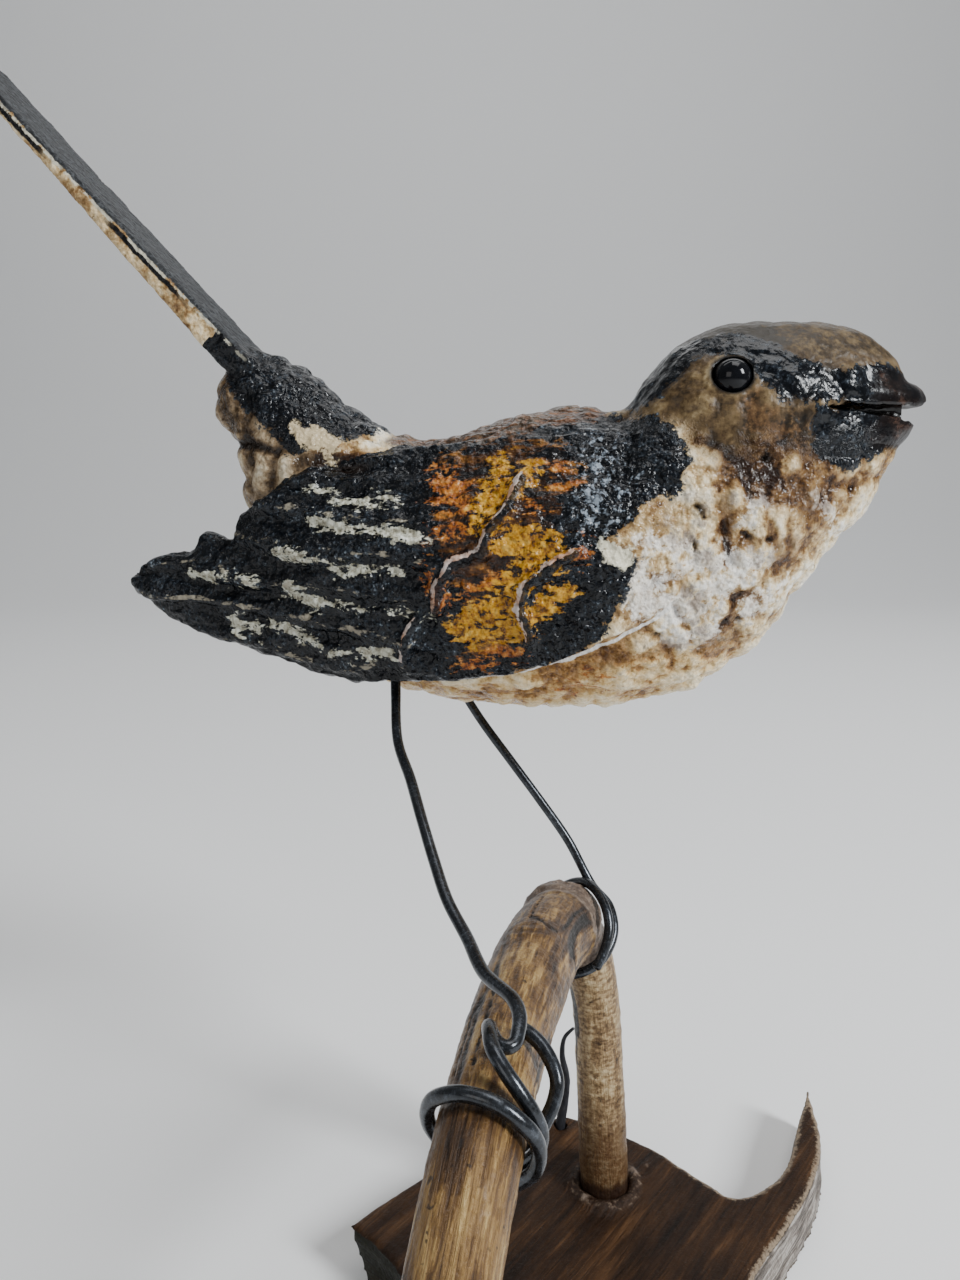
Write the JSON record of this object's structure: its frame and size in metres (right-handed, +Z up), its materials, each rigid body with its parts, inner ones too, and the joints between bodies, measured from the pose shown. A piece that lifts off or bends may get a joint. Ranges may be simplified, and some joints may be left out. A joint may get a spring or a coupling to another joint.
{
  "type": "carved wren on an arched branch and wooden base",
  "caption": "Carved and painted wooden wren with a cocked tail and open beak, on wire legs wound round an arched stick set in a free-form wooden base.",
  "frame": {"origin": "on the flat underside of the base, near its middle", "axes": "+Z up; +X to the bird's beak side; +Y from the front foot of the branch to the rear foot"},
  "size_m": [0.1571, 0.1448, 0.2077],
  "materials": {
    "base_wood": "dark stained, satin, with a weathered pale rim",
    "branch_wood": "varnished peeled stick with some grey bark",
    "bird_paint": "lumpy gesso and worn antiqued paint under gloss varnish",
    "leg_wire": "dark annealed wire",
    "eye_bead": "glossy black",
    "tendril_stem": "dark dried stem"
  },
  "bodies": {
    "root": {"base": "base_wood", "branch": "branch_wood", "bird": "bird_paint", "near_leg_wire": "leg_wire", "far_leg_wire": "leg_wire", "near_eye": "eye_bead", "far_eye": "eye_bead", "tendril": "tendril_stem"}
  },
  "joints": []
}
